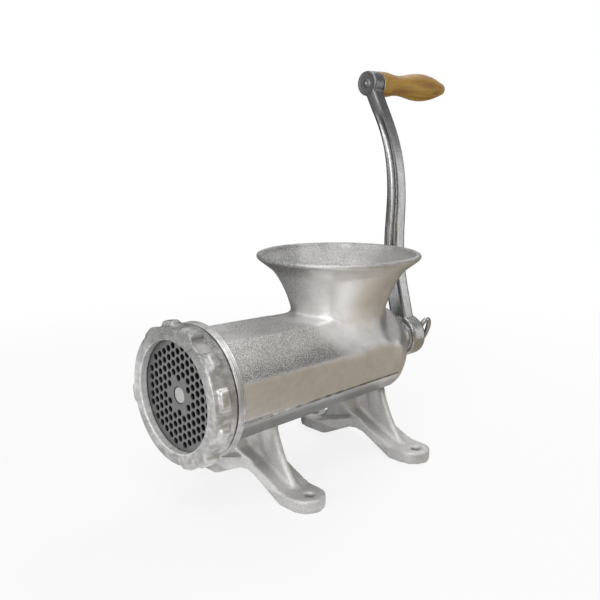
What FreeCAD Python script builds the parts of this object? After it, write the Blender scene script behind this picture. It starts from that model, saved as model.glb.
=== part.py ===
import FreeCAD, Part
import os
from math import acos, asin, atan2, ceil, cos, hypot, pi, sin, sqrt, tan
from FreeCAD import Vector

# Hand crank meat grinder, in millimetres. The origin is on the table, at the centre of the four
# foot bolts. +Z is up, and the barrel lies along Y with its mouth towards -Y and its crank at +Y.
# Each piece is drawn about the barrel's own axis and then moved sideways to that origin.

# Feet. The left pads, on the -X side, reach further out than the right ones.
bolt_right_x = 52.5
bolt_left_x = 62.5
bolt_span_y = 118.0
bolt_hole_r = 3.5
foot_thickness = 9.5
foot_width = 27.0
foot_end_margin = 10.5
foot_flat_in = 14.5
foot_sweep_r = 30.0
foot_inner_x = 36.0
strap_bend_x = 10.0
strap_bend_z = 21.5
pillar_half = 3.0
arch_rise = 14.8
arch_crown_r = 24.0
web_thickness = 5.0
web_foot_in = 11.5
web_top_in = 35.0
web_hollow = 2.6
web_root = 4.0

# Barrel casting
axis_height = 84.0
mouth_reach = 125.2
bore_r = 26.0
mouth_wall = 2.1
thread_length = 10.6
shoulder_step = 3.2
shoulder_width = 3.4
shoulder_groove = 0.8
front_half_width = 44.8
front_side_half = 12.8
front_top = 36.4
front_bottom = 33.0
front_flat_half = 24.5
rear_half_width = 41.2
rear_side_half = 12.3
rear_top = 32.4
rear_bottom = 29.5
rear_flat_half = 23.2
corner_r = 3.0
bore_end_y = 56.0
tail_start_y = 44.0
tail_start_r = 44.5
tail_bulge = 3.5
boss_r = 17.0
boss_length = 7.0
boss_round = 2.0
boss_end_y = 92.0

# Hopper
hopper_y = 23.4
hopper_wall = 5.0
throat_inset = 0.5
skirt_r = 52.0
skirt_z = 92.0
skirt_inset = 0.15
neck_foot_z = 119.0
neck_foot_r = 36.2
neck_z = 131.0
neck_r = 40.0
flare_z = 151.5
flare_r = 51.0
flare_hollow = 0.9
rim_z = 164.6
rim_r = 63.5
rim_drop = 3.6
rim_round = 2.2

# Hole plate
plate_r = 41.0
plate_thickness = 7.0
plate_stand = 2.5
plate_seat_gap = 0.3
plate_bore_r = 5.95
hole_r = 2.25
hole_pitch = 6.0
hole_field_in = 10.5
hole_field_out = 34.0

# Plate key
key_r = 1.5
key_sink = 6.0
key_fit = 0.02
key_notch_gap = 0.3

# Ring nut
ring_lip = 5.7
ring_overlap = 3.1
ring_wall = 3.12
ring_length = 18.0
ring_edge = 1.0
ring_gap = 0.05
thread_gap = 0.08
lobe_count = 12
lug_every = 4
lobe_phase = 70.0
lobe_height = 3.4
lobe_root_half = 7.8
lobe_top_half = 5.2
lobe_round = 2.2
lobe_start = 3.0
lobe_end = 13.0
lobe_rise = 1.4
lobe_slope = 4.0

# Knife and stud
knife_gap = 0.1
knife_thickness = 5.5
knife_reach = 34.5
knife_clear = 1.2
knife_hub_r = 13.0
knife_blade = 11.0
knife_bevel = 3.5
knife_blades = 4
stud_square = 13.0
stud_square_gap = 0.1
stud_end_r = 5.35
stud_end_sink = 0.5
stud_shank_r = 6.0
stud_shank = 26.0
press_gap = 0.02
cross_pin_r = 2.0
cross_pin_back = 13.0
cross_pin_short = 0.5

# Auger
flight_gap = 0.5
core_r = 12.5
flight_pitch = 36.0
flight_tip = 4.0
flight_root = 8.0
flight_sink = 1.0
thrust_gap = 0.1
thrust_thickness = 2.5
thrust_r = 22.0
thrust_bore_gap = 0.3
journal_r = 10.4
journal_gap = 0.05
bush_wall = 2.4
tail_square = 14.0
tail_gap = 0.1
tail_short = 1.0

# Crank. The course gives height as a share of the rise, sideways lean and width.
crank_rise = 212.6
crank_lean = 43.0
crank_gap = 0.6
crank_neck_r = 13.3
crank_neck = 7.4
hub_r = 17.2
hub_length = 16.0
hub_round = 2.5
arm_inset = 1.0
arm_thickness = 12.8
arm_width = 11.4
arm_root_width = 17.4
arm_course = [
    (0.11, 4.9, 16.6), (0.25, 11.4, 15.0), (0.39, 13.7, 13.8), (0.55, 12.6, 12.4),
    (0.68, 14.8, 11.2), (0.80, 21.9, 10.4), (0.89, 31.2, 11.0)]
arm_round = 2.0
arm_slices = 16
flute_width = 6.0
flute_depth = 2.5
flute_start = 0.16
flute_stop = 0.9
flute_lift = 0.5
arm_end_r = 10.4
arm_end_round = 1.2
arm_end_dish = 0.5
arm_end_rim = 1.8

# Thumb screw
screw_r = 4.0
screw_length = 18.0
screw_gap = 0.06
screw_tip_gap = 2.0
thumb_washer_r = 10.5
thumb_washer_thickness = 1.6
collar_r = 7.5
collar_length = 3.0
eye_neck_r = 4.2
eye_neck = 5.0
eye_wire_r = 2.1
eye_half_height = 12.8
eye_half_length = 8.5
eye_turn = 20.0

# Grip and spindle
spindle_r = 3.0
spindle_gap = 0.02
spindle_head_r = 4.0
spindle_head = 2.5
rivet_r = 4.2
rivet_head = 1.0
grip_washer_r = 10.0
grip_washer_thickness = 1.0
grip_play = 0.2
grip_bore_gap = 0.08
grip_length = 91.0
grip_edge = 1.5
grip_flange_r = 10.6
grip_flange = 7.0
grip_waist_r = 8.6
grip_waist_at = 25.0
grip_belly_r = 12.0
grip_belly_at = 57.0
grip_tip_r = 5.2
grip_recess = 5.0
grip_recess_gap = 0.4

# Stations along the barrel, from the mouth to the grip's end
mouth_y = -mouth_reach
plate_front_y = mouth_y - plate_stand
plate_rear_y = plate_front_y + plate_thickness
ring_front_y = plate_front_y - ring_gap - ring_lip
ring_rear_y = ring_front_y + ring_length
knife_front_y = plate_rear_y + knife_gap
knife_rear_y = knife_front_y + knife_thickness
chamber_end_y = knife_rear_y + knife_clear
shoulder_y = mouth_y + thread_length
barrel_front_y = shoulder_y + shoulder_width
thrust_front_y = bore_end_y - thrust_thickness
core_rear_y = thrust_front_y - thrust_gap
crank_front_y = boss_end_y + crank_gap
hub_front_y = crank_front_y + crank_neck
hub_rear_y = hub_front_y + hub_length
arm_front_y = hub_front_y + arm_inset
arm_rear_y = arm_front_y + arm_thickness
arm_mid_y = (arm_front_y + arm_rear_y) / 2
collar_y = hub_rear_y + thumb_washer_thickness
eye_y = collar_y + collar_length + eye_neck + eye_half_length
dish_y = arm_front_y + arm_end_dish
grip_front_y = arm_rear_y + grip_washer_thickness + grip_play
grip_rear_y = grip_front_y + grip_length
recess_y = grip_rear_y - grip_recess

# Radii and places that follow from the sizes above
axis_x = (bolt_left_x - bolt_right_x) / 2
plate_seat_r = plate_r + plate_seat_gap
thread_r = plate_seat_r + mouth_wall
shoulder_r = thread_r + shoulder_step
ring_thread_r = thread_r + thread_gap
ring_rim_r = ring_thread_r + ring_wall
ring_open_r = plate_r - ring_overlap
lobe_r = ring_rim_r + lobe_height
chamber_r = knife_reach + knife_clear
bush_bore_r = journal_r + journal_gap
bush_r = bush_bore_r + bush_wall
throat_r = bore_r - throat_inset
key_z = axis_height - plate_seat_r
cross_pin_y = knife_rear_y + cross_pin_back
spindle_x = -crank_lean
spindle_z = axis_height + crank_rise
up = Vector(0, 0, 1)
rearward = Vector(0, 1, 0)
barrel_axis = (Vector(0, 0, axis_height), rearward)
spindle_axis = (Vector(spindle_x, 0, spindle_z), rearward)
hopper_axis = (Vector(0, hopper_y, 0), up)


def wire(place, start, *steps):
    """Closed wire. A step is one point for a line, two for an arc, more for a smooth curve."""
    edges = []
    here = place(*start)
    for step in steps:
        points = [here] + [place(*point) for point in step]
        if len(points) == 2:
            curve = Part.LineSegment(*points)
        elif len(points) == 3:
            curve = Part.Arc(*points)
        else:
            curve = Part.BSplineCurve()
            curve.interpolate(points)
        edges.append(curve.toShape())
        here = points[-1]
    edges.append(Part.LineSegment(here, place(*start)).toShape())
    return Part.Wire(edges)


def quarter(start, corner, end):
    """Step that rounds off a square corner between two points at one distance from it."""
    centre = [a + b - c for a, b, c in zip(start, end, corner)]
    middle = tuple(k + (c - k) * sqrt(0.5) for k, c in zip(centre, corner))
    return (middle, end)


def along_barrel(y, r):
    return Vector(r, y, axis_height)


def along_spindle(y, r):
    return Vector(spindle_x + r, y, spindle_z)


def beside_hopper(r, z):
    return Vector(r, hopper_y, z)


def on_table(x, y):
    return Vector(x, y, 0)


def turn(axis, place, start, *steps):
    """Solid of revolution about an axis given as a point and a direction."""
    return Part.Face(wire(place, start, *steps)).revolve(axis[0], axis[1], 360)


def rod(y_from, y_to, r, x=0.0, z=axis_height):
    """Round bar along Y."""
    return Part.makeCylinder(r, y_to - y_from, Vector(x, y_from, z), rearward)


def tube(y_from, y_to, r, bore, x=0.0, z=axis_height):
    """Round bar along Y with a bore through it."""
    return rod(y_from, y_to, r, x, z).cut(rod(y_from, y_to, bore, x, z))


def square_bar(y_from, y_to, side):
    """Square bar along the barrel's axis."""
    corner = Vector(-side / 2, y_from, axis_height - side / 2)
    return Part.makeBox(side, y_to - y_from, side, corner)


def rounded_wire(points, radius):
    """Closed flat polygon with every corner rounded by one radius."""
    arcs = []
    for i, at in enumerate(points):
        back = (points[i - 1] - at).normalize()
        ahead = (points[(i + 1) % len(points)] - at).normalize()
        half = acos(back.dot(ahead)) / 2
        reach = radius * cos(half) / sin(half)
        inward = (back + ahead).normalize()
        middle = at + inward * (radius / sin(half) - radius)
        arcs.append((at + back * reach, middle, at + ahead * reach))
    edges = []
    for i, arc in enumerate(arcs):
        edges.append(Part.Arc(*arc).toShape())
        edges.append(Part.LineSegment(arc[2], arcs[(i + 1) % len(arcs)][0]).toShape())
    return Part.Wire(edges)


def barrel_section(y, half_width, side_half, top, bottom, flat_half):
    """Eight-sided section of the barrel, flat at the top, the bottom and both sides."""
    right = [(flat_half, -bottom), (half_width, -side_half), (half_width, side_half), (flat_half, top)]
    left = [(-x, z) for x, z in reversed(right)]
    return rounded_wire([Vector(x, y, axis_height + z) for x, z in right + left], corner_r)


def barrel_outside():
    """Tapered eight-sided barrel, domed down to the rear boss, with the threaded mouth in front."""
    front = barrel_section(
        barrel_front_y, front_half_width, front_side_half, front_top, front_bottom, front_flat_half)
    rear = barrel_section(
        boss_end_y, rear_half_width, rear_side_half, rear_top, rear_bottom, rear_flat_half)
    sides = Part.makeLoft([front, rear], True, True)
    tail_end_y = boss_end_y - boss_length
    tail_mid_y = (tail_start_y + tail_end_y) / 2 + tail_bulge
    tail_mid_r = (tail_start_r + boss_r) / 2 + tail_bulge
    clear_r = 2 * tail_start_r
    dome = turn(
        barrel_axis, along_barrel, (mouth_y, 0), ((mouth_y, clear_r),), ((tail_start_y, clear_r),),
        ((tail_start_y, tail_start_r),), ((tail_mid_y, tail_mid_r), (tail_end_y, boss_r)),
        ((tail_end_y, 0),))
    boss_side = (boss_end_y - boss_round, boss_r)
    boss_face = (boss_end_y, boss_r - boss_round)
    boss = turn(
        barrel_axis, along_barrel, (tail_start_y, 0), ((tail_start_y, boss_r),), (boss_side,),
        quarter(boss_side, (boss_end_y, boss_r), boss_face), ((boss_end_y, 0),))
    groove_y = (shoulder_y + barrel_front_y) / 2
    mouth = turn(
        barrel_axis, along_barrel, (mouth_y, 0), ((mouth_y, thread_r),), ((shoulder_y, thread_r),),
        ((shoulder_y, shoulder_r),), ((groove_y - shoulder_groove, shoulder_r),),
        ((groove_y, shoulder_r - shoulder_groove),), ((groove_y + shoulder_groove, shoulder_r),),
        ((barrel_front_y, shoulder_r),), ((barrel_front_y, 0),))
    return sides.common(dome).fuse([boss, mouth])


def flare_points(inset):
    """Hopper wall from the neck up to the rim's underside: neck, a hollow, the flare, the rim."""
    return [
        (neck_r - inset, neck_z),
        ((neck_r + flare_r) / 2 - flare_hollow - inset, (neck_z + flare_z) / 2),
        (flare_r - inset, flare_z),
        (rim_r - inset, rim_z - rim_drop),
    ]


def hopper_outside():
    """Flared bowl on a waisted neck that spreads out again over the barrel's shoulders."""
    neck, hollow, flare, under = flare_points(0.0)
    spread = skirt_r - neck_foot_r
    drop = neck_foot_z - skirt_z
    sweep_r = (spread ** 2 + drop ** 2) / (2 * spread)
    half_sweep = asin(drop / sweep_r) / 2
    skirt_mid = (
        neck_foot_r + sweep_r * (1 - cos(half_sweep)), neck_foot_z - sweep_r * sin(half_sweep))
    rim_side = (rim_r, rim_z - rim_round)
    bowl = turn(
        hopper_axis, beside_hopper, (0, axis_height), ((neck_foot_r, axis_height),),
        ((neck_foot_r, neck_foot_z),), (neck,), (hollow, flare), (under,), (rim_side,),
        quarter(rim_side, (rim_r, rim_z), (rim_r - rim_round, rim_z)), ((0, rim_z),))
    skirt = turn(
        hopper_axis, beside_hopper, (0, skirt_z), ((skirt_r, skirt_z),),
        (skirt_mid, (neck_foot_r, neck_foot_z)), ((0, neck_foot_z),))
    front_x = front_half_width - skirt_inset
    rear_x = rear_half_width - skirt_inset
    sides = Part.Face(wire(
        on_table, (-front_x, barrel_front_y), ((front_x, barrel_front_y),),
        ((rear_x, boss_end_y),), ((-rear_x, boss_end_y),)))
    return bowl.fuse(skirt.common(sides.extrude(Vector(0, 0, rim_z))))


def hopper_inside():
    """Bowl and throat, from the rounded rim down into the bore."""
    neck, hollow, flare, under = flare_points(hopper_wall)
    rim_side = (under[0], rim_z - rim_round)
    return turn(
        hopper_axis, beside_hopper, (0, axis_height), ((throat_r, axis_height),),
        ((throat_r, neck_foot_z),), (neck,), (hollow, flare), (under,), (rim_side,),
        quarter(rim_side, (under[0], rim_z), (under[0] + rim_round, rim_z)), ((0, rim_z),))


def mirrored(*points):
    return tuple((-x, z) for x, z in points)


def foot_side(bolt_x):
    """Strap's top from pad to pillar, then the web's edge, on the side with its bolt at bolt_x."""
    slope = atan2(strap_bend_z - foot_thickness, bolt_x - foot_flat_in - strap_bend_x)
    flat = (bolt_x - foot_flat_in + foot_sweep_r * tan(slope / 2), foot_thickness)

    def swept(angle):
        return (flat[0] - foot_sweep_r * sin(angle), flat[1] + foot_sweep_r * (1 - cos(angle)))

    rise_r = (strap_bend_x - pillar_half) / (1 - sin(slope))

    def risen(angle):
        return (
            strap_bend_x - rise_r * (sin(angle) - sin(slope)),
            strap_bend_z + rise_r * (cos(slope) - cos(angle)))

    strap = [flat, swept(slope / 2), swept(slope), (strap_bend_x, strap_bend_z)]
    strap += [risen((slope + pi / 2) / 2), risen(pi / 2)]
    web_foot = (bolt_x - web_foot_in, foot_thickness)
    web_top = (bolt_x - web_top_in, axis_height - rear_bottom)
    web_middle = [(low + high) / 2 for low, high in zip(web_foot, web_top)]
    web_mid = (web_middle[0] - web_hollow, web_middle[1] - web_hollow)
    return strap, [web_foot, web_mid, web_top]


def foot_pair(centre_y):
    """Arched strap with a bolt pad at each end, and the upright web between it and the barrel."""
    right_x = bolt_right_x + foot_end_margin
    left_x = bolt_left_x + foot_end_margin
    front_y = centre_y - foot_width / 2
    back_y = centre_y + foot_width / 2
    right, right_web = foot_side(bolt_right_x)
    left, left_web = foot_side(bolt_left_x)

    # The arch's straight flank starts at the pad and touches the crown's circle
    crown_z = arch_rise - arch_crown_r
    flank_angle = atan2(-crown_z, foot_inner_x) + acos(arch_crown_r / hypot(foot_inner_x, crown_z))
    flank = (arch_crown_r * cos(flank_angle), crown_z + arch_crown_r * sin(flank_angle))

    def on_strap(x, z):
        return Vector(x, front_y, z)

    strap = Part.Face(wire(
        on_strap, (foot_inner_x, 0), ((right_x, 0),), ((right_x, foot_thickness),), (right[0],),
        (right[1], right[2]), (right[3],), (right[4], right[5]), ((pillar_half, axis_height),),
        ((-pillar_half, axis_height),), mirrored(left[5]), mirrored(left[4], left[3]),
        mirrored(left[2]), mirrored(left[1], left[0]), ((-left_x, foot_thickness),), ((-left_x, 0),),
        ((-foot_inner_x, 0),), mirrored(flank), ((0, arch_rise), flank))
    ).extrude(Vector(0, foot_width, 0))
    right_round = right_x - foot_width / 2
    left_round = left_x - foot_width / 2
    outline = Part.Face(wire(
        on_table, (-left_round, back_y), ((-left_x, centre_y), (-left_round, front_y)),
        ((right_round, front_y),), ((right_x, centre_y), (right_round, back_y))))

    def on_web(x, z):
        return Vector(x, centre_y - web_thickness / 2, z)

    root_z = foot_thickness - web_root
    crown = (flank[0], arch_rise)
    web = Part.Face(wire(
        on_web, right_web[0], (right_web[1], right_web[2]), ((right_web[2][0], axis_height),),
        ((-left_web[2][0], axis_height),), mirrored(left_web[2]), mirrored(left_web[1], left_web[0]),
        ((-left_web[0][0], root_z),), mirrored(crown), (crown,), ((right_web[0][0], root_z),))
    ).extrude(Vector(0, web_thickness, 0))
    return strap.common(outline.extrude(Vector(0, 0, axis_height))).fuse(web)


def grinder_body():
    """One casting: barrel, hopper and two pairs of feet."""
    foot_rows = (-bolt_span_y / 2, bolt_span_y / 2)
    solid = barrel_outside().fuse([hopper_outside()] + [foot_pair(y) for y in foot_rows])
    bore = turn(
        barrel_axis, along_barrel, (mouth_y, 0), ((mouth_y, plate_seat_r),),
        ((plate_rear_y, plate_seat_r),), ((plate_rear_y, chamber_r),), ((chamber_end_y, chamber_r),),
        ((chamber_end_y, bore_r),), ((bore_end_y, bore_r),), ((bore_end_y, bush_r + press_gap),),
        ((boss_end_y, bush_r + press_gap),), ((boss_end_y, 0),))
    key_hole = rod(mouth_y, plate_rear_y + key_sink, key_r + key_fit, 0, key_z)
    bolt_holes = [
        Part.makeCylinder(bolt_hole_r, foot_thickness, Vector(x, y, 0))
        for x in (-bolt_left_x, bolt_right_x) for y in foot_rows]
    return solid.cut([bore, hopper_inside(), key_hole] + bolt_holes)


def rear_bush():
    return tube(bore_end_y, boss_end_y, bush_r, bush_bore_r)


def thrust_washer():
    return tube(thrust_front_y, bore_end_y, thrust_r, journal_r + thrust_bore_gap)


def plate_key():
    return rod(mouth_y, plate_rear_y + key_sink, key_r, 0, key_z)


def hole_plate():
    """Cutting plate with a field of round holes in a triangular grid."""
    plate = rod(plate_front_y, plate_rear_y, plate_r)
    holes = [rod(plate_front_y, plate_rear_y, plate_bore_r)]
    holes.append(rod(plate_front_y, plate_rear_y, key_r + key_notch_gap, 0, key_z))
    column = hole_pitch * sqrt(3) / 2
    reach = ceil(hole_field_out / column)
    for i in range(-reach, reach + 1):
        for j in range(-reach, reach + 1):
            x = i * column
            z = (j + (i % 2) / 2) * hole_pitch
            if hole_field_in < hypot(x, z) < hole_field_out:
                holes.append(rod(plate_front_y, plate_rear_y, hole_r, x, axis_height + z))
    return plate.cut(holes)


def ring_nut():
    """Threaded ring with a lip over the plate, rounded grip lobes and three full-length lugs."""
    lip_rear_y = ring_front_y + ring_lip
    band = turn(
        barrel_axis, along_barrel, (ring_front_y, ring_open_r),
        ((ring_front_y, ring_rim_r - ring_edge),), ((ring_front_y + ring_edge, ring_rim_r),),
        ((ring_rear_y, ring_rim_r),), ((ring_rear_y, ring_thread_r),), ((lip_rear_y, ring_thread_r),),
        ((lip_rear_y, ring_open_r),))
    buried_r = (ring_thread_r + ring_rim_r) / 2
    corners = [
        (buried_r, -lobe_root_half), (lobe_r, -lobe_top_half),
        (lobe_r, lobe_top_half), (buried_r, lobe_root_half)]
    lobe_bar = Part.Face(rounded_wire(
        [Vector(x, ring_front_y, axis_height + z) for x, z in corners], lobe_round)
    ).extrude(Vector(0, ring_length, 0))

    def lobe(start_y, end_y):
        return lobe_bar.common(turn(
            barrel_axis, along_barrel, (start_y, 0), ((start_y, ring_rim_r - ring_edge),),
            ((start_y + lobe_rise, lobe_r + lobe_round),),
            ((end_y - lobe_slope, lobe_r + lobe_round),), ((end_y, ring_rim_r - ring_edge),),
            ((end_y, 0),)))

    plain = lobe(ring_front_y + lobe_start, ring_front_y + lobe_end)
    lug = lobe(ring_front_y, ring_front_y + lobe_end)
    lobes = []
    for k in range(lobe_count):
        one = (plain if k % lug_every else lug).copy()
        one.rotate(barrel_axis[0], rearward, -lobe_phase - k * 360 / lobe_count)
        lobes.append(one)
    return band.fuse(lobes)


def cross_hole():
    start = Vector(-core_r, cross_pin_y, axis_height)
    return Part.makeCylinder(cross_pin_r + press_gap, 2 * core_r, start, Vector(1, 0, 0))


def stud_pin():
    half = sqrt(core_r ** 2 - cross_pin_r ** 2) - cross_pin_short
    start = Vector(-half, cross_pin_y, axis_height)
    return Part.makeCylinder(cross_pin_r, 2 * half, start, Vector(1, 0, 0))


def auger_stud():
    """Stud in the auger's nose: shank, square for the knife, and a pin for the plate's bore."""
    shank = rod(knife_rear_y, knife_rear_y + stud_shank, stud_shank_r)
    square = square_bar(knife_front_y, knife_rear_y, stud_square)
    end = rod(plate_front_y + stud_end_sink, knife_front_y, stud_end_r)
    return square.fuse([shank, end]).cut(cross_hole())


def knife():
    """Cross knife with a flat cutting face towards the plate and bevelled backs."""
    hub = rod(knife_front_y, knife_rear_y, knife_hub_r)
    half = knife_blade / 2

    def at_root(y, z):
        return Vector(0, y, axis_height + z)

    blade = Part.Face(wire(
        at_root, (knife_front_y, -half), ((knife_front_y, half),), ((knife_rear_y, half - knife_bevel),),
        ((knife_rear_y, -half),))).extrude(Vector(knife_reach, 0, 0))
    blades = []
    for k in range(knife_blades):
        one = blade.copy()
        one.rotate(barrel_axis[0], rearward, k * 360 / knife_blades)
        blades.append(one)
    cross = hub.fuse(blades).common(rod(knife_front_y, knife_rear_y, knife_reach))
    return cross.cut(square_bar(knife_front_y, knife_rear_y, stud_square + 2 * stud_square_gap))


def auger():
    """Feed screw: core with a left-hand flight, a journal for the bush and a squared tail."""
    front_y = knife_rear_y
    core = rod(front_y, core_rear_y, core_r)
    journal = rod(core_rear_y, crank_front_y, journal_r)
    tail_end_y = hub_rear_y - tail_short
    square = square_bar(crank_front_y, tail_end_y, tail_square)
    start_y = front_y + flight_root
    run = core_rear_y - flight_root - start_y
    path = Part.makeHelix(flight_pitch, run, core_r, 0, True)
    path.Placement = FreeCAD.Placement(Vector(0, start_y, axis_height), FreeCAD.Rotation(up, rearward))
    begin = path.Vertexes[0].Point
    outward = (begin - Vector(0, begin.y, axis_height)).normalize()
    flight_r = bore_r - flight_gap

    def on_flight(y, r):
        return Vector(0, start_y + y, axis_height) + outward * r

    section = wire(
        on_flight, (-flight_root / 2, core_r - flight_sink), ((-flight_tip / 2, flight_r),),
        ((flight_tip / 2, flight_r),), ((flight_root / 2, core_r - flight_sink),))
    flight = Part.Wire(path).makePipeShell([section], True, True)
    stud_hole = rod(front_y, front_y + stud_shank, stud_shank_r + press_gap)
    screw_hole = rod(
        tail_end_y - screw_length - screw_tip_gap, tail_end_y, screw_r + screw_gap)
    return core.fuse([journal, square, flight]).cut([stud_hole, screw_hole, cross_hole()])


def crank_arm():
    """Forged S-shaped arm, fluted on both faces, with a squared hub below and a boss above."""
    stations = [(0.0, 0.0, arm_root_width)] + arm_course + [(1.0, crank_lean, arm_width)]
    course = Part.BSplineCurve()
    course.interpolate([Vector(-lean, width, share * crank_rise) for share, lean, width in stations])

    def arm_at(share):
        """Middle of the arm and its width, a share of the way along the course."""
        at = course.value(course.FirstParameter + share * (course.LastParameter - course.FirstParameter))
        return Vector(at.x, arm_mid_y, axis_height + at.z), at.y

    def bar(share):
        middle, width = arm_at(share)
        x = width / 2
        y = arm_thickness / 2
        corners = [(-x, -y), (x, -y), (x, y), (-x, y)]
        return rounded_wire([middle + Vector(a, b, 0) for a, b in corners], arm_round)

    shank = Part.makeLoft([bar(i / arm_slices) for i in range(arm_slices + 1)], True)
    hub_face = hub_r - hub_round
    hub_front = (hub_front_y + hub_round, hub_r)
    hub_rear = (hub_rear_y - hub_round, hub_r)
    hub = turn(
        barrel_axis, along_barrel, (crank_front_y, 0), ((crank_front_y, crank_neck_r),),
        ((hub_front_y, crank_neck_r),), ((hub_front_y, hub_face),),
        quarter((hub_front_y, hub_face), (hub_front_y, hub_r), hub_front), (hub_rear,),
        quarter(hub_rear, (hub_rear_y, hub_r), (hub_rear_y, hub_face)), ((hub_rear_y, 0),))
    end_face = arm_end_r - arm_end_round
    end_front = (arm_front_y + arm_end_round, arm_end_r)
    end_rear = (arm_rear_y - arm_end_round, arm_end_r)
    end = turn(
        spindle_axis, along_spindle, (arm_front_y, 0), ((arm_front_y, end_face),),
        quarter((arm_front_y, end_face), (arm_front_y, arm_end_r), end_front), (end_rear,),
        quarter(end_rear, (arm_rear_y, arm_end_r), (arm_rear_y, end_face)), ((arm_rear_y, 0),))
    dish = rod(arm_front_y, dish_y, arm_end_r - arm_end_rim, spindle_x, spindle_z)

    # Each flute is cut by a round tool that sinks into the arm and lifts out again
    flute_r = ((flute_width / 2) ** 2 + flute_depth ** 2) / (2 * flute_depth)
    cuts = []
    for side in (-1, 1):
        rounds = []
        for i in range(arm_slices + 1):
            share = i / arm_slices
            sunk = (flute_depth + flute_lift) * (1 - (1 - sin(pi * share)) ** 2) - flute_lift
            offset = Vector(0, side * (arm_thickness / 2 + flute_r - sunk), 0)
            middle = arm_at(flute_start + (flute_stop - flute_start) * share)[0]
            rounds.append(Part.Wire(Part.makeCircle(flute_r, middle + offset, up)))
        cuts.append(Part.makeLoft(rounds, True))
    arm = hub.fuse([shank, end]).cut(cuts)
    square = square_bar(crank_front_y, hub_rear_y, tail_square + 2 * tail_gap)
    spindle_hole = rod(arm_front_y, arm_rear_y, spindle_r + spindle_gap, spindle_x, spindle_z)
    return arm.cut([square, spindle_hole, dish])


def thumb_washer():
    return tube(hub_rear_y, collar_y, thumb_washer_r, screw_r + screw_gap)


def thumb_screw():
    """Screw with a collar and an oval finger eye."""
    tip_y = hub_rear_y - tail_short - screw_length
    eye_front_y = eye_y - eye_half_length
    stem = turn(
        barrel_axis, along_barrel, (tip_y, 0), ((tip_y, screw_r),), ((collar_y, screw_r),),
        ((collar_y, collar_r),), ((collar_y + collar_length, collar_r),),
        ((eye_front_y, eye_neck_r),), ((eye_front_y + eye_wire_r, eye_neck_r),),
        ((eye_front_y + eye_wire_r, 0),))
    centre = Vector(0, eye_y, axis_height)
    across = eye_half_length - eye_wire_r
    tall = eye_half_height - eye_wire_r
    oval = Part.Ellipse(centre + up * tall, centre + rearward * across, centre)
    path = Part.Wire(oval.toShape())
    section = Part.Wire(Part.makeCircle(eye_wire_r, centre + up * tall, rearward))
    eye = path.makePipeShell([section], True, True)
    eye.rotate(centre, rearward, eye_turn)
    return stem.fuse(eye)


def grip_spindle():
    """Pin riveted through the arm's boss, with a head sunk in the grip's far end."""
    head_y = recess_y + grip_play
    rivet_y = dish_y - rivet_head
    rivet_mid = (dish_y - rivet_head * sqrt(0.75), rivet_r / 2)
    return turn(
        spindle_axis, along_spindle, (rivet_y, 0), (rivet_mid, (dish_y, rivet_r)),
        ((dish_y, spindle_r),), ((head_y, spindle_r),), ((head_y, spindle_head_r),),
        ((head_y + spindle_head, spindle_head_r),), ((head_y + spindle_head, 0),))


def grip_washer():
    rear_y = arm_rear_y + grip_washer_thickness
    return tube(arm_rear_y, rear_y, grip_washer_r, spindle_r + spindle_gap, spindle_x, spindle_z)


def eased(start, end, turns):
    """Points of a cosine curve from start to end, through half a turn or a quarter of one."""
    points = []
    for part in (0.25, 0.5, 0.75, 1.0):
        fall = (1 - cos(2 * pi * turns * part)) / (1 - cos(2 * pi * turns))
        points.append((start[0] + (end[0] - start[0]) * part, start[1] + (end[1] - start[1]) * fall))
    return tuple(points)


def grip():
    """Turned wooden handle: flange, waist, belly and a tapered end with a recess for the head."""
    bore = spindle_r + grip_bore_gap
    recess_r = spindle_head_r + grip_recess_gap
    flange_face = (grip_front_y, grip_flange_r - grip_edge)
    flange_side = (grip_front_y + grip_edge, grip_flange_r)
    flange = (grip_front_y + grip_flange, grip_flange_r)
    waist = (grip_front_y + grip_waist_at, grip_waist_r)
    belly = (grip_front_y + grip_belly_at, grip_belly_r)
    tip = (grip_rear_y, grip_tip_r)
    return turn(
        spindle_axis, along_spindle, (grip_front_y, bore), (flange_face,),
        quarter(flange_face, (grip_front_y, grip_flange_r), flange_side), (flange,),
        eased(flange, waist, 0.5) + eased(waist, belly, 0.5) + eased(belly, tip, 0.25),
        ((grip_rear_y, recess_r),), ((recess_y, recess_r),), ((recess_y, bore),))


pieces = [
    grinder_body, rear_bush, thrust_washer, plate_key, hole_plate, ring_nut, auger, auger_stud,
    stud_pin, knife, crank_arm, thumb_washer, thumb_screw, grip_spindle, grip_washer, grip]

os.makedirs("parts", exist_ok=True)
for piece in pieces:
    shape = piece()
    shape.translate(Vector(axis_x, 0, 0))
    shape.exportStep("parts/" + piece.__name__ + ".step")
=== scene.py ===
import math
import bmesh
import bpy
from mathutils import Matrix, Vector


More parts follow.
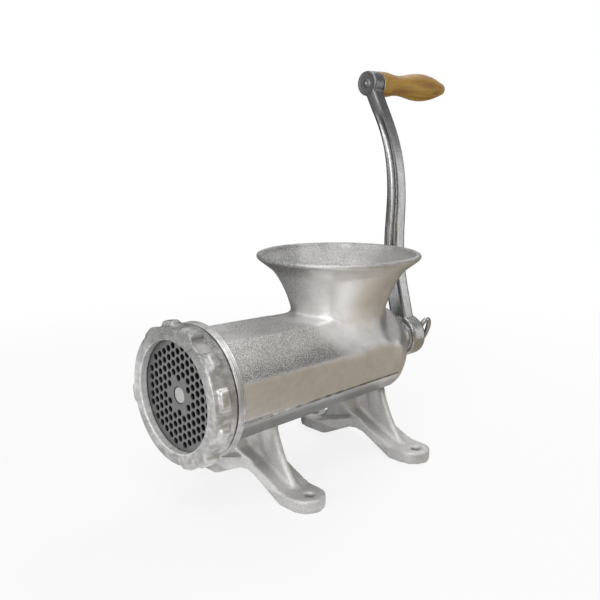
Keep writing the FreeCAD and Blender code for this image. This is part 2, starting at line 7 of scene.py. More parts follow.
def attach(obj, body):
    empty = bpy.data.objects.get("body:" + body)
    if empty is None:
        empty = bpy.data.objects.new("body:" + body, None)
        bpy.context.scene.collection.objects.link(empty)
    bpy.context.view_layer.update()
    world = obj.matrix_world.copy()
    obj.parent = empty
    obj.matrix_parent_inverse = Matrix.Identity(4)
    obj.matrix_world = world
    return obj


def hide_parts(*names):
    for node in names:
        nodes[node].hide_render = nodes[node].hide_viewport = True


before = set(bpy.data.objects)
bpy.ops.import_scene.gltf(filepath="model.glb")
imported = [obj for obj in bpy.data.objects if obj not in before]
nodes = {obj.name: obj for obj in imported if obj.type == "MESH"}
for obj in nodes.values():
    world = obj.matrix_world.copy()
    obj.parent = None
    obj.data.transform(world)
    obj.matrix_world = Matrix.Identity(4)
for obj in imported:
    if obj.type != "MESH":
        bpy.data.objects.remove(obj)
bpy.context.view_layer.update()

# The casting: barrel, hopper and feet poured as one piece of iron in a sand mould and dipped in
# molten tin. The tin softens every edge, keeps the sand's grain on the barrel's upper faces, runs
# smooth over the hopper and stays chalky on the legs. Its colour carries painted highlights on the
# hopper's front and the feet, and painted shade under the barrel, in its corners, and with sand
# grain on the hopper's left flank and inside.
barrel_x = 0.005
hopper_y = 0.0234
shoulder_y = -0.1146
collar_end_y = -0.1092


class Varying:
    """A value that varies over a surface. Arithmetic on it adds Math nodes."""

    def __init__(self, finish, socket):
        self.finish = finish
        self.socket = socket

    def twin(self, output):
        """Another output of the same node."""
        return Varying(self.finish, self.socket.node.outputs[output])

    def math(self, operation, *values):
        return self.finish.node("ShaderNodeMath", {"operation": operation}, dict(enumerate(values)))

    def __add__(self, other):
        return self.math("ADD", self, other)

    def __radd__(self, other):
        return self.math("ADD", other, self)

    def __sub__(self, other):
        return self.math("SUBTRACT", self, other)

    def __rsub__(self, other):
        return self.math("SUBTRACT", other, self)

    def __mul__(self, other):
        return self.math("MULTIPLY", self, other)

    def __rmul__(self, other):
        return self.math("MULTIPLY", other, self)

    def __pow__(self, other):
        return self.math("POWER", self, other)

    def most(self, other):
        """The greater of two values."""
        return self.math("MAXIMUM", self, other)

    def over(self, least):
        """A value from 0 to 1, squeezed into the range from least to 1."""
        return self * (1 - least) + least


class Finish:
    """The nodes of one material, or of the surround, drawn on Object coordinates."""

    def __init__(self, name, shelf="materials"):
        self.made = getattr(bpy.data, shelf).new(name)
        self.made.use_nodes = True
        self.tree = self.made.node_tree
        self.tree.nodes.clear()
        self.place = self.node("ShaderNodeTexCoord", {}, {}, "Object")

    def node(self, kind, settings, sockets, output=0):
        """Adds a node: settings first, then socket values or links. Gives back one output."""
        made = self.tree.nodes.new(kind)
        for key, value in settings.items():
            if key == "stops":
                ramp = made.color_ramp.elements
                while len(ramp) < len(value):
                    ramp.new(0.5)
                for element, (position, colour) in zip(ramp, value):
                    element.position = position
                    element.color = colour
            else:
                setattr(made, key, value)
        for key, value in sockets.items():
            if isinstance(value, Varying):
                self.tree.links.new(value.socket, made.inputs[key])
            else:
                made.inputs[key].default_value = value
        return Varying(self, made.outputs[output]) if made.outputs else None

    def axes(self):
        """The x, y and z of the place on the surface."""
        x = self.node("ShaderNodeSeparateXYZ", {}, {"Vector": self.place}, "X")
        return x, x.twin("Y"), x.twin("Z")

    def mark(self, name):
        """A value that was marked on the points of the piece."""
        return self.node("ShaderNodeAttribute", {"attribute_name": name}, {}, "Fac")

    def noise(self, scale, detail=3.0, stretch=(1, 1, 1), rough=0.55):
        """Cloudy noise, scale in features per metre, drawn out along an axis where stretch is small."""
        place = self.node("ShaderNodeMapping", {}, {"Vector": self.place, "Scale": stretch})
        sockets = {"Vector": place, "Scale": scale, "Detail": detail, "Roughness": rough}
        return self.node("ShaderNodeTexNoise", {}, sockets, "Fac")

    def step(self, value, low, high):
        """0 below low, 1 above high and a smooth rise between them."""
        sockets = {"Value": value, "From Min": low, "From Max": high}
        return self.node("ShaderNodeMapRange", {"interpolation_type": "SMOOTHSTEP"}, sockets, "Result")

    def band(self, value, rise, fall):
        """1 in a band, with a smooth rise over one pair of values and a smooth fall over the other."""
        return self.step(value, *rise) * (1 - self.step(value, *fall))

    def blend(self, share, low, high):
        """Colour between low and high."""
        return self.node("ShaderNodeMix", {"data_type": "RGBA"}, {"Factor": share, 6: low, 7: high}, 2)

    def bump(self, height, distance, strength, **under):
        """Relief on the surface, or on the relief under it."""
        sockets = {"Height": height, "Distance": distance, "Strength": strength}
        return self.node("ShaderNodeBump", {}, sockets | under)

    def openness(self, reach):
        """1 on open faces, less in corners and hollows of the piece itself."""
        settings = {"samples": 6, "only_local": True}
        return self.node("ShaderNodeAmbientOcclusion", settings, {"Distance": reach}, "AO")

    def close(self, shader, end="ShaderNodeOutputMaterial"):
        """Ends the finish with its shader."""
        self.node(end, {}, {"Surface": shader})
        return self.made

    def metal(self, colour, roughness, normal, bare=1.0):
        """Ends the finish as metal, chalky where it is less than bare."""
        sockets = {"Base Color": colour, "Metallic": bare, "Roughness": roughness, "Normal": normal}
        return self.close(self.node("ShaderNodeBsdfPrincipled", {}, sockets))


blue_loss = 2.4


def grey(level, warmth=0.0):
    """Linear colour of a metal. Warmth takes a share off the green, and more off the blue."""
    return (level, level * (1 - warmth), level * (1 - warmth * blue_loss), 1)


tin_warmth = 0.010
tin_tone = 0.75
tin_rough = 0.30
cloud_scale = 38
cloud_rough = 0.14
run_scale = 240
run_stretch = (1, 0.5, 1)
run_fade = (0.36, 0.64)
run_depth = 0.0009
grit_scale = 1500
grit_fade = (0.36, 0.66)
grit_contrast = 0.8
grit_clouds = 0.35
grit_base = -0.24
grit_rough = 0.14
grit_depth = 0.0014
skin_depth = 0.00008
grit_strength = 0.6
corner_shade_fade = (0.3, 0.95)
corner_shade_least = 0.55
painted_light_gain = 0.3
chalk_most = 0.75


def tinned_iron(name, bright, dark, sand_at, smear, dents, shade_reach, painted_light_at=None, chalk_at=None):
    """Tin over a sand-cast skin: grain where sand_at says so, smeared runs elsewhere, painted shade
    darkening its corners, and any painted highlight or shade that the caller gives.
    """
    tin = Finish(name)
    clouds = tin.noise(cloud_scale, detail=4)
    runs = tin.noise(run_scale, detail=5, stretch=run_stretch, rough=0.65)
    grit = tin.noise(grit_scale, detail=1)
    sand = sand_at(tin)
    smooth = tin.step(runs, *run_fade).over(1 - smear)
    gritty = clouds * grit_clouds + tin.step(grit, *grit_fade) * grit_contrast + grit_base
    # Painted shade: the colour darkens in the piece's own corners and hollows.
    corner_shade = tin.step(tin.openness(shade_reach), *corner_shade_fade).over(corner_shade_least)
    tone = (smooth + (gritty - smooth) * sand) * corner_shade * tin_tone
    # Painted light: the tone is raised where the caller paints highlights and lowered where it paints
    # shade.
    if painted_light_at:
        tone = tone + painted_light_at(tin) * painted_light_gain
    colour = tin.blend(tone, grey(dark, tin_warmth), grey(bright, tin_warmth))
    roughness = tin_rough + clouds * cloud_rough + sand * grit_rough
    dented = tin.bump(runs, run_depth, dents)
    grained = tin.bump(grit, sand * grit_depth + skin_depth, grit_strength, Normal=dented)
    bare = 1 - chalk_at(tin) * chalk_most if chalk_at else 1.0
    return tin.metal(colour, roughness, grained, bare)


patch_scale = 90
patch_fade = (0.45, 0.65)
patch_share = 0.45


def patchy_sand(tin):
    """Sand grain in patches, the tin smooth between them."""
    return tin.step(tin.noise(patch_scale, detail=2), *patch_fade) * patch_share


def toward(tin, way):
    """How far the surface lies from the hopper's axis in one level direction."""
    x, y, _ = tin.axes()
    return (x - barrel_x) * way[0] + (y - hopper_y) * way[1]


grain_out = (0.046, 0.062)
grain_rise = (0.096, 0.099)
grain_fall = (0.131, 0.134)
shaded_flank_way = (-0.69, -0.72)
shaded_flank_fade = (0.018, 0.036)
flank_rise = (0.118, 0.138)
lip_rise = (0.160, 0.165)
lip_share = 0.8
bowl_grain_shade_share = 0.6
leg_fall = (0.038, 0.050)
leg_share = 0.4
stray_share = 0.3


def casting_sand(tin):
    """Sand grain on the barrel's upper faces and the legs, and sand grain that also darkens the hopper's
    left flank and inside as painted shade.
    """
    x, y, z = tin.axes()
    out = ((x - barrel_x) ** 2 + (y - hopper_y) ** 2) ** 0.5
    barrel = tin.band(z, grain_rise, grain_fall) * tin.step(out, *grain_out)
    # Painted shade: the sand grain on the hopper's left flank and inside darkens them.
    flank_grain_and_shade = tin.step(toward(tin, shaded_flank_way), *shaded_flank_fade)
    bowl = tin.mark("bowl") * bowl_grain_shade_share
    lip = tin.step(z, *lip_rise) * lip_share
    hopper = flank_grain_and_shade.most(bowl.most(lip)) * tin.step(z, *flank_rise)
    legs = (1 - tin.step(z, *leg_fall)) * leg_share
    strays = patchy_sand(tin) * stray_share
    return barrel * tin.step(y, shoulder_y, collar_end_y) + hopper + legs + strays


# Painted light on the casting: highlights on the hopper's front and the feet, shade under the barrel.
hopper_highlight_way = (0.34, -0.94)
hopper_highlight_fade = (0.010, 0.030)
hopper_highlight_rise = (0.098, 0.112)
hopper_highlight_fall = (0.148, 0.162)
foot_highlight_rise = (0.0070, 0.0095)
foot_highlight_gain = 0.8
under_shade_rise = (0.046, 0.052)
under_shade_fall = (0.062, 0.070)
under_shade_gain = 1.5


def casting_painted_light(tin):
    """Painted light: above 0 for painted highlights on the hopper's front and the feet, below 0 for
    painted shade under the barrel.
    """
    z = tin.axes()[2]
    hopper = tin.step(toward(tin, hopper_highlight_way), *hopper_highlight_fade) * tin.band(z, hopper_highlight_rise, hopper_highlight_fall)
    feet_highlights = tin.band(z, foot_highlight_rise, leg_fall) * foot_highlight_gain
    return hopper + feet_highlights - tin.band(z, under_shade_rise, under_shade_fall) * under_shade_gain


right_fade = (-0.010, 0.030)
right_chalk = 0.55
left_chalk = 0.05
near_way = (0.72, -0.69)
root_near = (0.018, 0.032)
root_far = (0.050, 0.070)
root_rise = (0.094, 0.102)
root_fall = (0.114, 0.134)
root_chalk = 0.6


def casting_chalk(tin):
    """How pale and chalky the tin is: on the legs, the right pair most, and at the hopper's root."""
    x, _, z = tin.axes()
    legs = (1 - tin.step(z, *leg_fall)) * (tin.step(x, *right_fade) * right_chalk + left_chalk)
    root = tin.band(toward(tin, near_way), root_near, root_far) * tin.band(z, root_rise, root_fall)
    return legs + root * root_chalk


same_point = 1e-6
ease_share = 0.5


def link(piece):
    """Puts an object into the scene."""
    bpy.context.scene.collection.objects.link(piece)
    return piece


def softened(node, name, voxel, rounds):
    """A node's skin made even and its edges eased, as casting and tinning leave them."""
    mesh = nodes[node].data.copy()
    skin = bmesh.new()
    skin.from_mesh(mesh)
    bmesh.ops.remove_doubles(skin, verts=skin.verts, dist=same_point)
    skin.to_mesh(mesh)
    skin.free()
    mesh.materials.clear()
    piece = link(bpy.data.objects.new(name, mesh))
    even = piece.modifiers.new("even_skin", "REMESH")
    even.mode = "VOXEL"
    even.voxel_size = voxel
    ease = piece.modifiers.new("eased_edges", "SMOOTH")
    ease.factor = ease_share
    ease.iterations = rounds
    done = piece.evaluated_get(bpy.context.evaluated_depsgraph_get())
    piece.data = bpy.data.meshes.new_from_object(done)
    piece.modifiers.clear()
    piece.data.shade_smooth()
    return piece


def eased_where(piece, wanted, rounds):
    """More easing on the part of a skin that the test picks out."""
    skin = bmesh.new()
    skin.from_mesh(piece.data)
    picked = [vert for vert in skin.verts if wanted(vert.co)]
    for _ in range(rounds):
        bmesh.ops.smooth_vert(
            skin, verts=picked, factor=ease_share, use_axis_x=True, use_axis_y=True, use_axis_z=True)
    skin.to_mesh(piece.data)
    skin.free()


ease_in = 0.028
ease_out = 0.056
ease_low = 0.094
ease_high = 0.126


def at_hopper_root(at):
    """Whether a point lies where the hopper's neck runs out over the barrel's shoulders."""
    out = math.hypot(at.x - barrel_x, at.y - hopper_y)
    return ease_in < out < ease_out and ease_low < at.z < ease_high


leg_half_y = 0.0135
front_flare = 0.026
rear_flare = 0.004
flare_reach = 0.050
flare_low = 0.024
flare_full = 0.054
flare_gone = 0.072
flare_in_x = 0.008
flare_out_x = 0.016
web_half = 0.0025
pillar_lean = 0.005
pillar_rise = 0.008


def slope(value, start, end):
    """0 up to start, 1 from end on and a straight slope between them."""
    return min(max((value - start) / (end - start), 0.0), 1.0)


def flared(piece, row):
    """Spreads a leg's pillar along the barrel, and leans it to midway between the feet."""
    for vert in piece.data.vertices:
        beside = vert.co.y - row
        out = abs(beside)
        aside = abs(vert.co.x - barrel_x)
        if out > flare_reach or aside > flare_out_x or not flare_low < vert.co.z < flare_gone:
            continue
        inner = slope(aside, flare_out_x, flare_in_x) * slope(vert.co.z, flare_gone, flare_full)
        rise = slope(vert.co.z, flare_low, flare_full)
        spread = min(slope(out, 0.0, leg_half_y), slope(out, flare_reach, leg_half_y))
        most = rear_flare if beside > 0 else front_flare
        vert.co.y += math.copysign(most * spread * rise * inner, beside)
        clear = slope(out, web_half, 2 * web_half)
        lean = slope(vert.co.z, flare_low, flare_low + pillar_rise)
        vert.co.x -= pillar_lean * clear * lean * inner


bowl_low = 0.130


def keep_marks(piece, name, values):
    """Keeps a value at each point of a piece, for its finish to read."""
    marks = piece.data.attributes.new(name, "FLOAT", "POINT")
    marks.data.foreach_set("value", values)


def mark_bowl(piece):
    """Marks the inside of the hopper, whose sand grain also darkens it as painted shade."""
    inside = []
    for vert in piece.data.vertices:
        inward = vert.normal.x * (barrel_x - vert.co.x) + vert.normal.y * (hopper_y - vert.co.y)
        inside.append(1.0 if vert.co.z > bowl_low and inward > 0 else 0.0)
    keep_marks(piece, "bowl", inside)


def finished(piece, finish, body, slot, *replaced):
    """Gives a new piece its finish and its body, and hides the CAD nodes that it stands for. The slot is
    not used.
    """
    piece.data.materials.append(finish)
    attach(piece, body)
    if replaced:
        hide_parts(*replaced)


foot_rows = (-0.059, 0.059)
casting = softened("grinder_body", "casting", voxel=0.00147, rounds=4)
eased_where(casting, at_hopper_root, rounds=10)
for row in foot_rows:
    flared(casting, row)
mark_bowl(casting)
casting_finish = tinned_iron(
    "tinned_casting", bright=0.88, dark=0.20, sand_at=casting_sand, smear=0.10, dents=0.10, shade_reach=0.03,
    painted_light_at=casting_painted_light, chalk_at=casting_chalk)
finished(casting, casting_finish, "casting", "tinned_casting", "grinder_body")

# The shoulder behind the ring: a turned collar of the casting with three fine grooves, against
# which the ring nut stops. It is turned after casting, as is the mouth in front of it.
barrel_z = 0.084
barrel_middle = Vector((barrel_x, 0, barrel_z))
collar_r = 0.0466
collar_root_r = 0.0440
collar_grooves = 3
collar_segments = 160
groove_r = 0.0457
land_ease = 0.2
groove_ease = 0.3


def made_piece(name, form):
    """A piece from a form whose faces are turned outwards."""
    bmesh.ops.recalc_face_normals(form, faces=form.faces)
    piece = link(bpy.data.objects.new(name, bpy.data.meshes.new(name)))
    form.to_mesh(piece.data)
    form.free()
    return piece


def turned(name, profile, centre, segments):
    """A ring turned about a line along Y. The profile is a list of stations along Y and radii."""
    form = bmesh.new()
    ends = [form.verts.new((centre.x + r, y, centre.z)) for y, r in profile]
    loop = [form.edges.new((a, b)) for a, b in zip(ends, ends[1:] + ends[:1])]
    bmesh.ops.spin(
        form, geom=ends + loop, cent=centre, axis=(0, 1, 0), angle=math.tau, steps=segments,
        use_merge=True)
    bmesh.ops.remove_doubles(form, verts=form.verts, dist=same_point)
    piece = made_piece(name, form)
    piece.data.shade_smooth()
    return piece


faint_scale = 60
faint_fade = (0.35, 0.75)
faint_share = 0.25


def faint_sand(tin):
    """A trace of sand grain, as turning and rubbing leave it."""
    return tin.step(tin.noise(faint_scale, detail=2), *faint_fade) * faint_share


land = (collar_end_y - shoulder_y) / (2 * collar_grooves + 1)
collar_profile = [(shoulder_y, collar_root_r), (shoulder_y, groove_r)]
for k in range(collar_grooves + 1):
    start = shoulder_y + 2 * k * land
    collar_profile.append((start + land * land_ease, collar_r))
    collar_profile.append((start + land * (1 - land_ease), collar_r))
    if k < collar_grooves:
        collar_profile.append((start + land * (1 + groove_ease), groove_r))
        collar_profile.append((start + land * (2 - groove_ease), groove_r))
collar_profile += [(collar_end_y, groove_r), (collar_end_y, collar_root_r)]
collar = turned("shoulder_collar", collar_profile, barrel_middle, collar_segments)
collar_finish = tinned_iron(
    "turned_shoulder", bright=0.84, dark=0.08, sand_at=faint_sand, smear=0.3, dents=0.1, shade_reach=0.002)
finished(collar, collar_finish, "casting", "tinned_casting")

# The mouth's thread: a coarse right-hand thread on the barrel's mouth, turned after casting, on
# which the ring nut runs. The mouth is turned down between the ridges, and the ridge is wound on it.
mouth_front_y = -0.1252
thread_tip_r = 0.04325
thread_root_r = 0.0424
thread_pitch = 0.0030
thread_steps = 80
ridge_foot = 0.0011
ridge_top = 0.0004
ridge_sink = 0.0004
ridge_margin = 0.0003


def turned_down(piece):
    """Takes the mouth's outside down to the root of the thread."""
    for vert in piece.data.vertices:
        beside = vert.co.x - barrel_x
        above = vert.co.z - barrel_z
        out = math.hypot(beside, above)
        if vert.co.y < shoulder_y - ridge_margin and out > thread_root_r:
            vert.co.x = barrel_x + beside * thread_root_r / out
            vert.co.z = barrel_z + above * thread_root_r / out


def wound(name, profile, centre, turns, pitch, steps):
    """A ridge wound about a line along Y. The profile is a list of stations along Y and radii."""
    form = bmesh.new()
    ends = [form.verts.new((centre.x + r, y, centre.z)) for y, r in profile]
    face = form.faces.new(ends)
    bmesh.ops.spin(
        form, geom=ends + list(face.edges) + [face], cent=centre, axis=(0, 1, 0),
        angle=math.tau * turns, steps=round(steps * turns), dvec=(0, pitch / steps, 0))
    return made_piece(name, form)


turned_down(casting)
ridge_start = mouth_front_y + ridge_foot + ridge_margin
ridge_turns = (shoulder_y - ridge_start - ridge_foot - ridge_margin) / thread_pitch
ridge_profile = [
    (ridge_start - ridge_foot, thread_root_r - ridge_sink),
    (ridge_start - ridge_top, thread_tip_r),
    (ridge_start + ridge_top, thread_tip_r),
    (ridge_start + ridge_foot, thread_root_r - ridge_sink),
]
thread = wound("mouth_thread", ridge_profile, barrel_middle, ridge_turns, thread_pitch, thread_steps)
finished(thread, collar_finish, "casting", "tinned_casting")

# The mould's seam: a thin, rough bead of iron left along the lower edge of each side of the barrel
# where the two halves of the sand mould met.
seam_front = Vector((0.0447, -0.1098, 0.0712))
seam_rear = Vector((0.0411, 0.0480, 0.0717))
seam_r = 0.0008
seam_sides = 10


def bead(name, front, rear, r, sides):
    """A straight round bead between two points, its ends closed."""
    form = bmesh.new()
    along = rear - front
    turn = along.to_track_quat("Z", "Y").to_matrix().to_4x4()
    bmesh.ops.create_cone(
        form, cap_ends=True, segments=sides, radius1=r, radius2=r, depth=along.length,
        matrix=Matrix.Translation((front + rear) / 2) @ turn)
    piece = made_piece(name, form)
    piece.data.shade_smooth()
    return piece


seam_finish = tinned_iron(
    "rough_seam", bright=0.60, dark=0.10, sand_at=patchy_sand, smear=0.8, dents=0.5, shade_reach=0.003)
for name, side in (("right_seam", 1), ("left_seam", -1)):
    ends = [Vector((barrel_x + side * end.x, end.y, end.z)) for end in (seam_front, seam_rear)]
    finished(bead(name, *ends, seam_r, seam_sides), seam_finish, "casting", "tinned_casting")

# The rear bush and the thrust washer: turned bronze. The bush is pressed into the rear boss and
# the washer lies against the wall in front of it.
bronze_dark = (0.42, 0.27, 0.11, 1)
bronze_bright = (0.58, 0.40, 0.19, 1)


def dress(finish, *names):
    """Gives CAD nodes a finish."""
    for name in names:
        mesh = nodes[name].data
        mesh.materials.clear()
        mesh.materials.append(finish)


bronze = Finish("turned_bronze")
turning = bronze.noise(900, detail=2, stretch=(0.03, 1, 0.03))
bronze_finish = bronze.metal(
    bronze.blend(turning, bronze_dark, bronze_bright), roughness=0.25 + turning * 0.2,
    normal=bronze.bump(turning, distance=0.0002, strength=0.3))
dress(bronze_finish, "rear_bush", "thrust_washer")

# The auger: a cast feed screw, tinned like the casting, whose journal turns in the bush. Its
# flight is rubbed smooth by the meat that it drives.
auger_finish = tinned_iron(
    "tinned_auger", bright=0.60, dark=0.28, sand_at=faint_sand, smear=0.4, dents=0.2, shade_reach=0.01)
dress(auger_finish, "auger")

# Turned steel: the stud in the auger's nose with its cross pin, the plate's key and the washers.
# All are left bright from the lathe.
steel_warmth = 0.01
bright = Finish("turned_steel")
lathe = bright.noise(1400, detail=2, stretch=(1, 0.12, 1))
smears = bright.noise(160, detail=3)
bright_finish = bright.metal(
    bright.blend(smears, grey(0.42, steel_warmth), grey(0.66, steel_warmth)),
    roughness=0.3 + lathe * 0.2, normal=bright.bump(lathe, distance=0.0002, strength=0.25))
dress(bright_finish, "auger_stud", "stud_pin", "plate_key", "thumb_washer", "grip_washer")

# The knife and the hole plate: hardened steel, ground flat on the faces that run together. The
# plate's holes are drilled through, and their walls are painted dark and less metallic as shade.
plate_face_y = -0.1277
drilled_r = 0.0392
drilled_fade = 0.0006
dark_from = 0.0003
dark_to = 0.0012
hole_shade_black = 0.012
hole_shade_matte = 0.8


def off_axis(finish):
    """Distance from the barrel's axis."""
    x, _, z = finish.axes()
    return ((x - barrel_x) ** 2 + (z - barrel_z) ** 2) ** 0.5


ground = Finish("ground_plate")
scratch = ground.noise(700, detail=3, stretch=(1, 1, 0.08))
cloud = ground.noise(60, detail=3)
rim = ground.step(off_axis(ground), drilled_r, drilled_r + drilled_fade)
# Painted shade: the walls of the plate's holes are darkened and made less metallic.
hole_shade = ground.step(ground.axes()[1], plate_face_y + dark_from, plate_face_y + dark_to) * (1 - rim)
face_colour = ground.blend(cloud * 0.6 + scratch * 0.4, grey(0.17), grey(0.29))
ground_finish = ground.metal(
    ground.blend(hole_shade, face_colour, grey(hole_shade_black)), roughness=0.42 + scratch * 0.2,
    normal=ground.bump(scratch, distance=0.0001, strength=0.3), bare=1 - hole_shade * hole_shade_matte)
dress(ground_finish, "hole_plate")
blade = Finish("ground_knife")
hone = blade.noise(900, detail=3, stretch=(1, 0.1, 1))
blade_finish = blade.metal(
    blade.blend(hone, grey(0.35), grey(0.5)), roughness=0.3 + hone * 0.2,
    normal=blade.bump(hone, distance=0.0001, strength=0.3))
dress(blade_finish, "knife")

# The ring nut: cast and tinned like the body, screwed over the plate on the barrel's mouth. Its
# lobes are eased round and the wall of its opening is chalky. Its opening, its left and its lobes
# get painted highlights, and its top gets painted shade with extra sand grain.
# Painted light on the ring: highlights on its lobes, its left and its opening, shade on its top.
lobe_in_r = 0.0435
lobe_highlight_fade = (0.0460, 0.0485)
lobe_highlight_gain = 0.35
recess_fade = (0.0382, 0.0389)
left_highlight_fade = (0.032, 0.046)
left_highlight_gain = 0.8
ring_top_shade_fade = (0.018, 0.042)
top_shade_gain = 0.55
top_sand_shade_share = 0.4


def on_lobes(at):
    """Whether a point lies on the ring's lobes."""
    return math.hypot(at.x - barrel_x, at.z - barrel_z) > lobe_in_r


def ring_top_shade(tin):
    """1 on the ring's upper part, which is painted darker as shade."""
    return tin.step(tin.axes()[2] - barrel_z, *ring_top_shade_fade)


def recess_chalk_and_highlight(tin):
    """1 on the wall of the ring's opening, which is chalky and gets a painted highlight."""
    return 1 - tin.step(off_axis(tin), *recess_fade)


def ring_sand_and_shade(tin):
    """Sand grain in patches, and more of it on the ring's top, where it also darkens the top as painted
    shade.
    """
    return patchy_sand(tin) + ring_top_shade(tin) * top_sand_shade_share


def ring_painted_light(tin):
    """Painted light: above 0 for painted highlights in the ring's opening, at its left and on its lobes,
    below 0 for painted shade on its top.
    """
    left_highlights = tin.step(barrel_x - tin.axes()[0], *left_highlight_fade) * left_highlight_gain
    lobe_highlights = tin.step(off_axis(tin), *lobe_highlight_fade) * lobe_highlight_gain
    return recess_chalk_and_highlight(tin) + left_highlights + lobe_highlights - ring_top_shade(tin) * top_shade_gain


ring = softened("ring_nut", "ring", voxel=0.0007, rounds=3)
eased_where(ring, on_lobes, rounds=6)
ring_finish = tinned_iron(
    "tinned_ring", bright=0.76, dark=0.16, sand_at=ring_sand_and_shade, smear=0.46, dents=0.5, shade_reach=0.006,
    painted_light_at=ring_painted_light, chalk_at=recess_chalk_and_highlight)
finished(ring, ring_finish, "ring", "tinned_casting", "ring_nut")

# The crank: a steel forging, polished along its shank and darker towards its top end, with painted
# shade in its flutes, painted dark reflections on its long edges and a squared eye on the auger's
# tail. The thumb screw is forged in the same way.
arm_voxel = 0.0006
arm_top_fade = (0.224, 0.280)
arm_top_darkening = 0.85
shank_rise = (0.105, 0.120)
shank_fall = (0.270, 0.285)
hub_polish = 0.78
pit_fade = (0.5, 0.7)
flute_shade_reach = 0.006
flute_shade_fade = (0.45, 0.92)
flute_shade_least = 0.25
edge_dark_fade = (0.022, 0.056)
edge_dark_share = 0.85
edge_dark_black = 0.03


def mark_edges(piece, voxel):
    """Marks how sharply the skin turns outwards, in shares of its mesh."""
    form = bmesh.new()
    form.from_mesh(piece.data)
    turns = []
    for vert in form.verts:
        around = [edge.other_vert(vert).co for edge in vert.link_edges]
        middle = sum(around, Vector()) / len(around)
        turns.append((vert.co - middle).dot(vert.normal) / voxel)
    form.free()
    keep_marks(piece, "edge", turns)


forged = Finish("forged_steel")
streak = forged.noise(420, detail=3, stretch=(1, 1, 0.12))
pits = forged.noise(1100, detail=2)
arm_z = forged.axes()[2]
# Darker towards the top end of the crank.
darker_up = forged.step(arm_z, *arm_top_fade) * arm_top_darkening
shank = forged.band(arm_z, shank_rise, shank_fall)
# Painted shade: the colour darkens in the flutes and other hollows.
flute_shade = forged.step(forged.openness(flute_shade_reach), *flute_shade_fade).over(flute_shade_least)
sheen = streak * 0.7 + forged.step(pits, *pit_fade) * 0.4 + 0.15
polished = forged.blend(sheen * (1 - darker_up) * flute_shade * shank.over(hub_polish), grey(0.16), grey(0.86))
# Painted reflection: the shank's convex long edges are darkened as a reflection of dark surroundings.
scale = forged.step(forged.mark("edge"), *edge_dark_fade) * shank * edge_dark_share
forged_finish = forged.metal(
    forged.blend(scale, polished, grey(edge_dark_black)), roughness=0.22 + streak * 0.12,
    normal=forged.bump(pits, distance=0.0003, strength=0.25))
arm = softened("crank_arm", "crank", arm_voxel, rounds=12)
mark_edges(arm, arm_voxel)
finished(arm, forged_finish, "crank", "forged_steel", "crank_arm")
dress(forged_finish, "thumb_screw")

# The grip's spindle: a steel pin whose end is riveted over in the crank's boss and left black, with
# a painted highlight at its centre.
spindle_x = -0.038
spindle_z = 0.2966
centre_highlight_fade = (0.00077, 0.00143)
black = Finish("black_spindle")
hammered = black.noise(900, detail=3)
pin_x, _, pin_z = black.axes()
off_pin = ((pin_x - spindle_x) ** 2 + (pin_z - spindle_z) ** 2) ** 0.5
# Painted highlight: a bright dot at the centre of the pin's end.
centre_highlight = 1 - black.step(off_pin, *centre_highlight_fade)
black_colour = black.blend(hammered, grey(0.10), grey(0.24))
black_finish = black.metal(
    black.blend(centre_highlight, black_colour, grey(0.60)), roughness=0.3 + hammered * 0.2,
    normal=black.bump(hammered, distance=0.0003, strength=0.4))
dress(black_finish, "grip_spindle")

# The grip: beech turned on a lathe and varnished, with its grain lengthwise. It is loose on its
# spindle, between the washer on the crank's boss and the spindle's head.
wood_stops = [
    (0.30, (0.20, 0.072, 0.006, 1)),
    (0.46, (0.31, 0.155, 0.010, 1)),
    (0.64, (0.385, 0.22, 0.014, 1)),
]
wood = Finish("lacquered_wood")
rings = wood.noise(260, detail=4, stretch=(1, 0.06, 1))
fibre = wood.noise(1500, detail=3, stretch=(1, 0.03, 1))
tint = wood.noise(45, detail=2, stretch=(1, 0.4, 1))
grain = rings * 0.9 + fibre * 0.45 + tint * 0.35 - 0.35
wood_finish = wood.close(wood.node("ShaderNodeBsdfPrincipled", {}, {
    "Base Color": wood.node("ShaderNodeValToRGB", {"stops": wood_stops}, {"Fac": grain}),
    "Roughness": 0.42 + fibre * 0.12,
    "Coat Weight": 0.15,
    "Coat Roughness": 0.3,
    "Normal": wood.bump(fibre, distance=0.0002, strength=0.25),
}))
dress(wood_finish, "grip")

# The studio: a pale floor in a white surround. The floor keeps a soft shadow near the object and
# turns into the surround further out. In the metal it mirrors white in front, and a painted
# reflection behind and on the left: warm and dimmer behind, dark on the left.
floor_half = 4.0
floor_colour = grey(0.85)
shadow_fade = (0.25, 0.75)
shadow_least = 0.82
mirror_fade = (0.04, 0.09)
mirror_least = 0.08
behind_way = 0.7
behind_fade = (0.03, 0.15)
painted_warm_reflection = (0.43, 0.382, 0.315, 1)
dim_left = (0.02, 0.07)
dim_rear = (-0.20, -0.08)
painted_dark_reflection = grey(0.10)
ambient = 0.5


def sheet(name, placed, finish):
    """A flat square of the studio, put in place by a matrix."""
    form = bmesh.new()
    bmesh.ops.create_grid(form, x_segments=1, y_segments=1, size=1.0, matrix=placed)
    made = link(bpy.data.objects.new(name, bpy.data.meshes.new(name)))
    form.to_mesh(made.data)
    form.free()
    made.data.materials.append(finish)
    return made


def seen_rays(finish):
    """What the camera shows, and what a reflection or a glass shows: 1 or 0 each."""
    ray = finish.node("ShaderNodeLightPath", {}, {}, "Is Camera Ray")
    return ray, ray.twin("Is Glossy Ray").most(ray.twin("Is Transmission Ray"))


pale = Finish("pale_floor")
floor_x, floor_y, _ = pale.axes()
away = (floor_x ** 2 + floor_y ** 2) ** 0.5
white_share = pale.step(away, *shadow_fade).over(shadow_least)
mirror_share = pale.step(away, *mirror_fade).over(mirror_least)
lit = pale.node("ShaderNodeBsdfDiffuse", {}, {"Color": floor_colour})
shown, mirrored = seen_rays(pale)
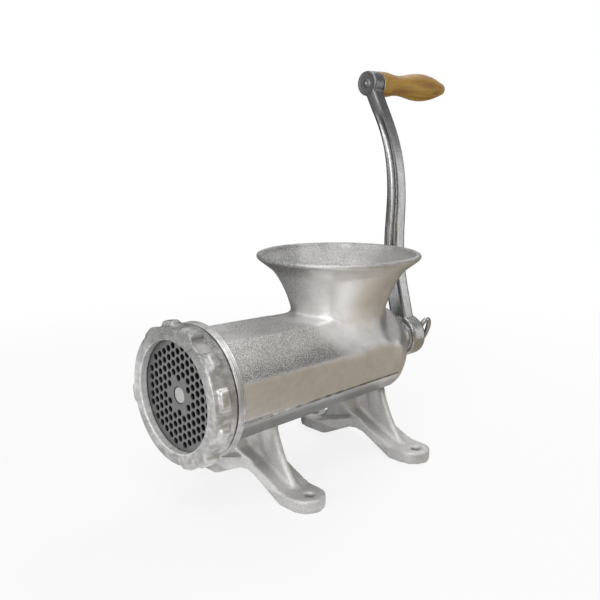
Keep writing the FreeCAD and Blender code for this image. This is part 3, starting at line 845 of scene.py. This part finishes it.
# Painted reflection: the floor seen in the metal is warm behind and dark on the left.
behind = pale.step((floor_x + floor_y) * behind_way, *behind_fade)
leftward = pale.step(0 - floor_x, *dim_left) * pale.step(floor_y, *dim_rear)
mirror_colour = pale.blend(leftward, pale.blend(behind, grey(1.0), painted_warm_reflection), painted_dark_reflection)
glow = pale.node("ShaderNodeEmission", {}, {"Color": pale.blend(shown, mirror_colour, grey(1.0))})
pale_share = shown * white_share + (1 - shown) * mirrored * mirror_share
pale_finish = pale.close(pale.node("ShaderNodeMixShader", {}, {0: pale_share, 1: lit, 2: glow}))
sheet("floor", Matrix.Scale(floor_half, 4), pale_finish)

surround = Finish("surround", "worlds")
shown, mirrored = seen_rays(surround)
white = surround.node("ShaderNodeBackground", {}, {
    "Color": grey(1.0),
    "Strength": shown.most(mirrored).over(ambient),
})
bpy.context.scene.world = surround.close(white, "ShaderNodeOutputWorld")

# Cards out of shot give the metal something to mirror: dark ones on the left, at the left corner,
# behind and near the camera, a warm one on the right, and bright ones for the crank and the mouth.
rise_from = 0.6
rise_to = 1.4


def card(name, middle, facing, width, height, low, high, rise):
    """A standing card that faces an azimuth: colour low under the height rise, high above it."""
    paint = Finish(name)
    share = paint.step(paint.axes()[2], rise * rise_from, rise * rise_to)
    glowing = paint.node("ShaderNodeEmission", {}, {"Color": paint.blend(share, low, high)})
    standing = Matrix.Rotation(math.radians(90), 4, "X") @ Matrix.Diagonal((width / 2, height / 2, 1, 1))
    placed = Matrix.Translation((*middle, height / 2)) @ Matrix.Rotation(math.radians(facing), 4, "Z")
    made = sheet(name, placed @ standing, paint.close(glowing))
    made.visible_camera = False
    made.visible_diffuse = False
    made.visible_shadow = False


warm_grey = (0.50, 0.42, 0.325, 1)
card(
    "left_card", middle=(-0.18, 0.01), facing=90, width=0.22, height=0.42,
    low=grey(0.06), high=grey(0.34), rise=0.18)
card(
    "corner_card", middle=(-0.21, 0.30), facing=90, width=0.36, height=0.42,
    low=grey(0.06), high=grey(0.42), rise=0.12)
card(
    "back_card", middle=(0.05, 0.56), facing=0, width=0.9, height=0.95,
    low=grey(0.10), high=grey(0.36), rise=0.20)
card(
    "right_card", middle=(0.30, 0.14), facing=90, width=0.42, height=0.40,
    low=warm_grey, high=grey(0.40), rise=0.16)
card(
    "arm_card", middle=(0.30, 0.45), facing=90, width=0.18, height=0.34,
    low=grey(1.3), high=grey(1.3), rise=0.12)
card(
    "near_card", middle=(0.56, -0.54), facing=46, width=0.40, height=0.46,
    low=grey(0.06), high=grey(0.06), rise=0.12)
card(
    "mouth_card", middle=(-0.30, -0.42), facing=-44, width=0.40, height=0.50,
    low=grey(0.95), high=grey(1.0), rise=0.12)

# The lamps: soft boxes around the object. The key hangs high at the front right, a lower one fills
# the front, one lights the hopper from behind, and a small one at the right rear catches the edges.
aim = Vector((0, 0.02, 0.12))


def softbox(name, azimuth, elevation, distance, size, power):
    """A square lamp that faces the object. Azimuth 0 is in front of the mouth, 90 to its right."""
    turn = math.radians(azimuth)
    rise = math.radians(elevation)
    level = math.cos(rise)
    away_from = Vector((math.sin(turn) * level, -math.cos(turn) * level, math.sin(rise)))
    lamp = bpy.data.lights.new(name, "AREA")
    lamp.size = size
    lamp.energy = power
    made = link(bpy.data.objects.new(name, lamp))
    made.location = aim + away_from * distance
    made.rotation_euler = away_from.to_track_quat("Z", "Y").to_euler()


softbox("key_lamp", azimuth=40, elevation=52, distance=1.3, size=0.7, power=4.2)
softbox("front_lamp", azimuth=20, elevation=16, distance=1.2, size=0.45, power=3.5)
softbox("back_lamp", azimuth=198, elevation=46, distance=0.9, size=0.35, power=2.8)
softbox("edge_lamp", azimuth=138, elevation=17, distance=0.7, size=0.22, power=0.25)

# The camera stands where the photograph was taken, right of the mouth and a little above it. Its
# lens is fitted to the plate, the barrel and the feet.
view_azimuth = math.radians(46.27)
view_drop = math.radians(11.52)
camera_place = Vector((0.3999, -0.3955, 0.2438))
across = Vector((math.cos(view_azimuth), math.sin(view_azimuth), 0))
level = math.cos(view_drop)
back = Vector((math.sin(view_azimuth) * level, -math.cos(view_azimuth) * level, math.sin(view_drop)))
turned_view = Matrix((across, back.cross(across), back)).transposed().to_4x4()
camera = link(bpy.data.objects.new("camera", bpy.data.cameras.new("camera")))
camera.matrix_world = Matrix.Translation(camera_place) @ turned_view
camera.data.sensor_width = 36.0
camera.data.lens = 45.07
bpy.context.scene.camera = camera
bpy.context.scene.view_settings.view_transform = "Standard"
